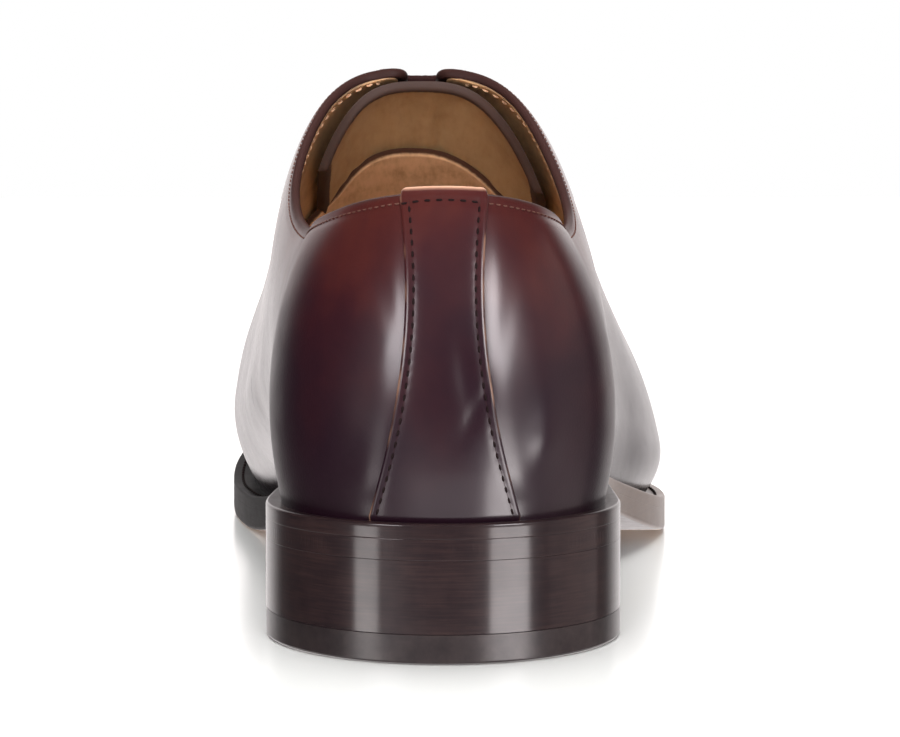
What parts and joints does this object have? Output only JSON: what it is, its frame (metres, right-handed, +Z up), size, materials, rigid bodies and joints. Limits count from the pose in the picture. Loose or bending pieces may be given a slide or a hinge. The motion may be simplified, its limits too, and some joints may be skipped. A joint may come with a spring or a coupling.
{
  "type": "oxford shoe",
  "caption": "Plain leather oxford shoe for the right foot: hollow upper with a back strip, laced facings over a tongue, welt, leather outsole and stacked heel.",
  "frame": {"origin": "on the floor under the middle of the shoe", "axes": "+Y from heel to toe, +X towards the wearer's right (the outside of this right shoe), +Z up"},
  "size_m": [0.106, 0.302, 0.1078],
  "materials": {
    "upper": "polished, dark burgundy brown",
    "back_strip": "polished, stitched along both edges",
    "tongue": "matte lining with a dark edge",
    "insole": "matte tan sock",
    "welt": "burnished dark brown edge",
    "outsole": "burnished dark brown edge",
    "heel_stack": "burnished stacked lifts",
    "heel_top_piece": "dull black",
    "lace": "waxed dark cord"
  },
  "bodies": {
    "root": {"upper": "upper", "back_strip": "back_strip", "tongue": "tongue", "insole": "insole", "welt": "welt", "outsole": "outsole", "heel_stack": "heel_stack", "heel_top_piece": "heel_top_piece", "lace_bar_1": "lace", "lace_bar_2": "lace", "lace_bar_3": "lace", "lace_bar_4": "lace", "lace_bar_5": "lace"}
  },
  "joints": []
}
